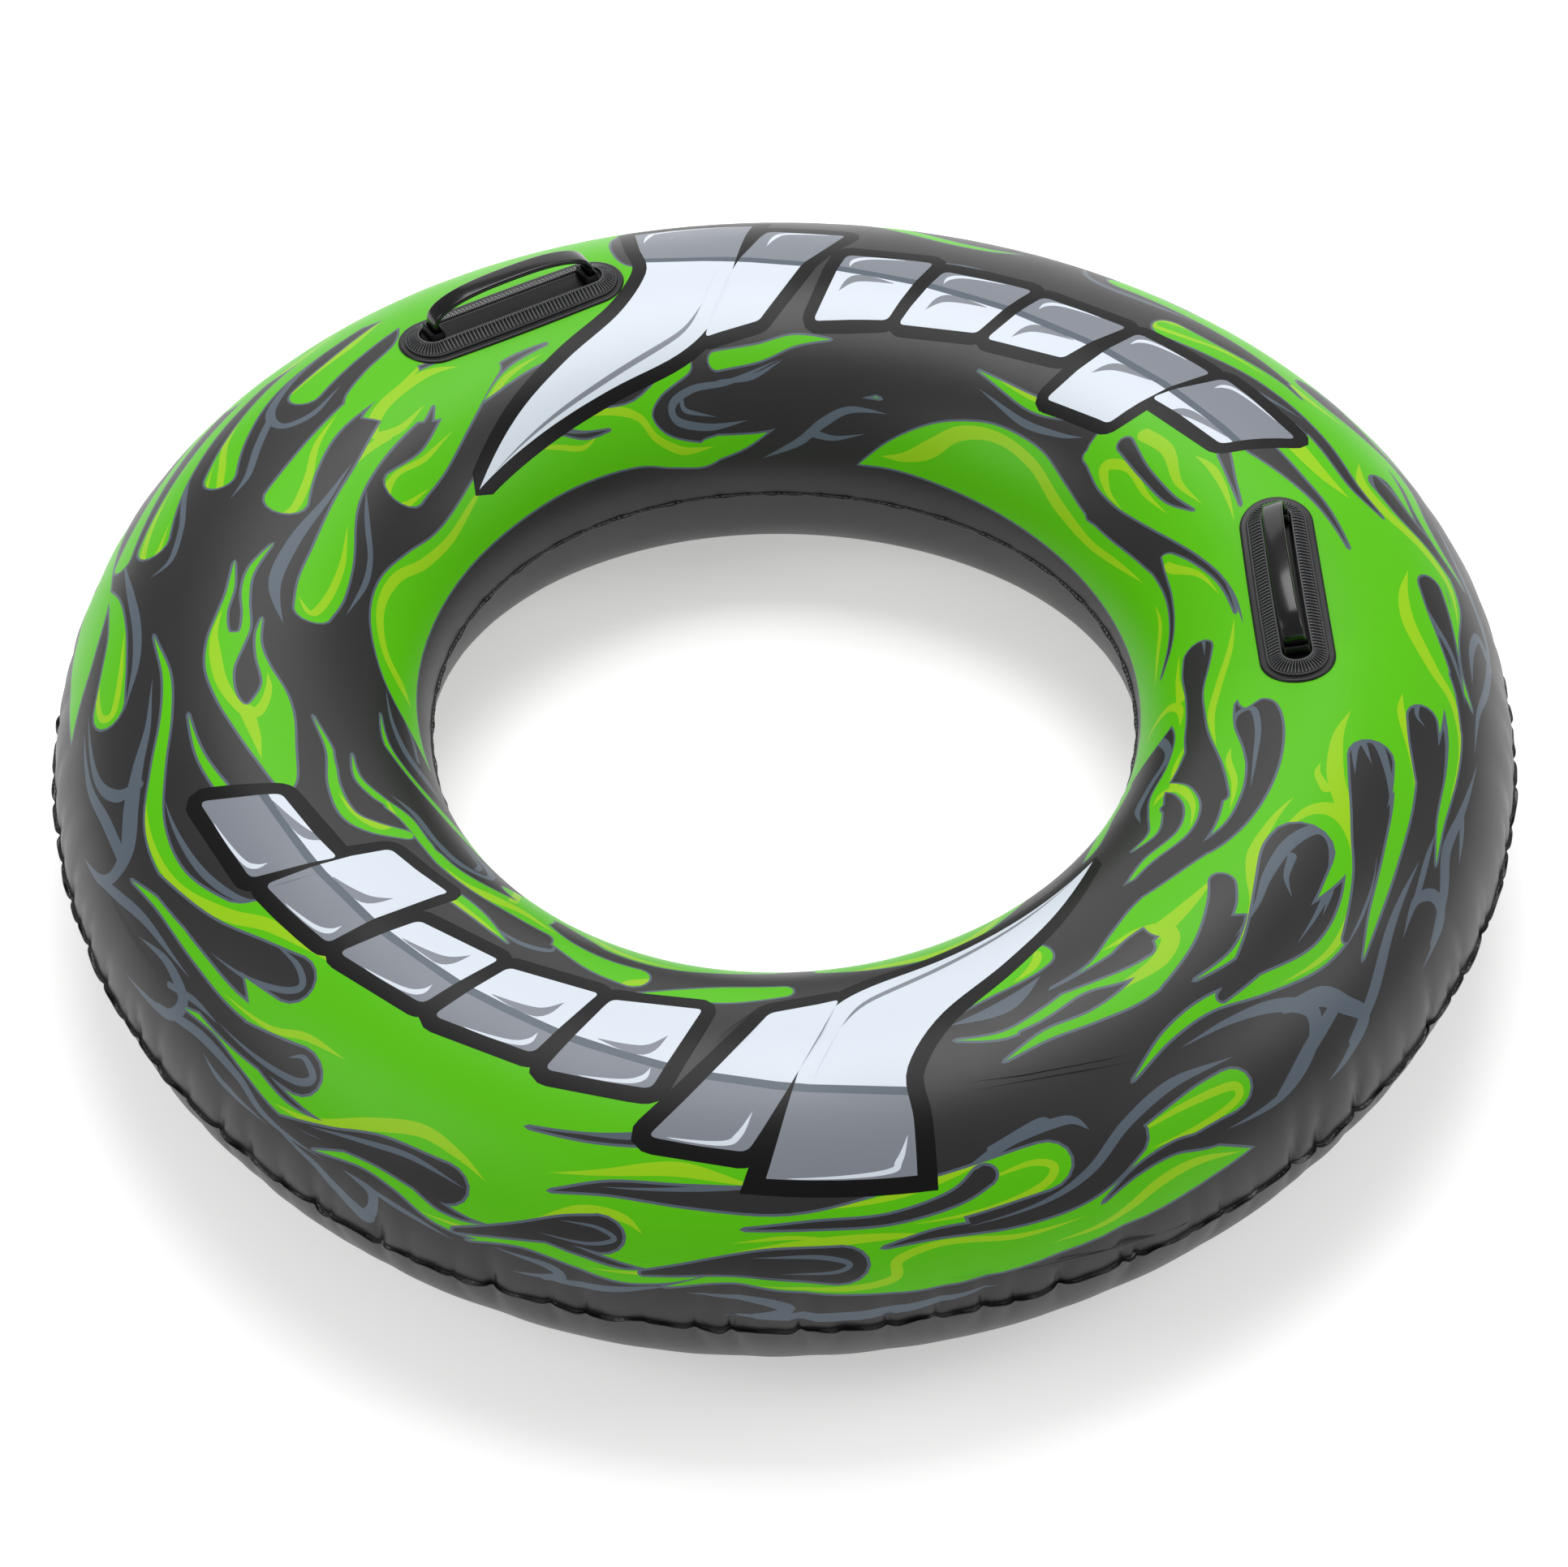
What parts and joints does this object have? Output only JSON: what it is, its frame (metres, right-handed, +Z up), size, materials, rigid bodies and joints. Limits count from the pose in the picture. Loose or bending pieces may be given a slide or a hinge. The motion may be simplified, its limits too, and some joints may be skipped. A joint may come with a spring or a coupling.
{
  "type": "inflatable swim ring",
  "caption": "Inflatable swim ring of two welded vinyl halves, with a printed upper half, two moulded arched grab handles and a push-in stopper valve.",
  "frame": {"origin": "under the ring's centre, on the surface that it lies on", "axes": "+Z up out of the printed side; +X towards the right-hand handle, -Y towards the side that faces the viewer"},
  "size_m": [0.7486, 0.7486, 0.1842],
  "materials": {
    "printed_vinyl": "satin soft PVC film, printed green, lime, slate and black with two white and grey emblems",
    "charcoal_vinyl": "satin soft PVC film, charcoal",
    "weld_black": "black high-frequency weld",
    "handle_film": "matte charcoal film",
    "handle_base_black": "satin moulded soft PVC with fine weld ribs",
    "handle_strap_gloss": "glossy moulded soft PVC",
    "valve_vinyl": "translucent white soft PVC"
  },
  "bodies": {
    "ring": {"upper_panel": "printed_vinyl", "lower_panel": "charcoal_vinyl", "outer_weld_seam": "weld_black", "inner_weld_seam": "weld_black", "right_handle_film_patch": "handle_film", "right_handle_ribbed_base": "handle_base_black", "right_handle_socket_front": "handle_base_black", "right_handle_socket_rear": "handle_base_black", "left_handle_film_patch": "handle_film", "left_handle_ribbed_base": "handle_base_black", "left_handle_socket_front": "handle_base_black", "left_handle_socket_rear": "handle_base_black", "valve_flange": "valve_vinyl"},
    "right_strap": {"right_handle_strap": "handle_strap_gloss"},
    "left_strap": {"left_handle_strap": "handle_strap_gloss"},
    "valve_stem": {"valve_stem": "valve_vinyl", "valve_tether": "valve_vinyl"},
    "valve_plug": {"valve_plug": "valve_vinyl"},
    "valve_flap": {"valve_flap": "valve_vinyl"}
  },
  "joints": [
    {"name": "right_strap_flex", "type": "hinge", "parent": "ring", "child": "right_strap", "pos_m": [0.25262, 0.02168, 0.1665], "axis": [-0.0212, 0.9998, 0.0055], "range_deg": [-30, 30], "stiffness_Nm_per_rad": 0.15},
    {"name": "left_strap_flex", "type": "hinge", "parent": "ring", "child": "left_strap", "pos_m": [-0.14396, 0.2396, 0.16794], "axis": [0.8654, 0.501, -0.0007], "range_deg": [-30, 30], "stiffness_Nm_per_rad": 0.15},
    {"name": "valve_stem_push", "type": "slide", "parent": "ring", "child": "valve_stem", "axis": [0, -0.703, 0.7112], "range_m": [0, 0.006]},
    {"name": "valve_plug_pull", "type": "slide", "parent": "valve_stem", "child": "valve_plug", "axis": [0, 0.703, -0.7112], "range_m": [0, 0.01]},
    {"name": "valve_flap_swing", "type": "hinge", "parent": "valve_stem", "child": "valve_flap", "pos_m": [0, 0.33789, 0.04274], "axis": [-1, 0, 0], "range_deg": [0, 60], "stiffness_Nm_per_rad": 0.01}
  ]
}
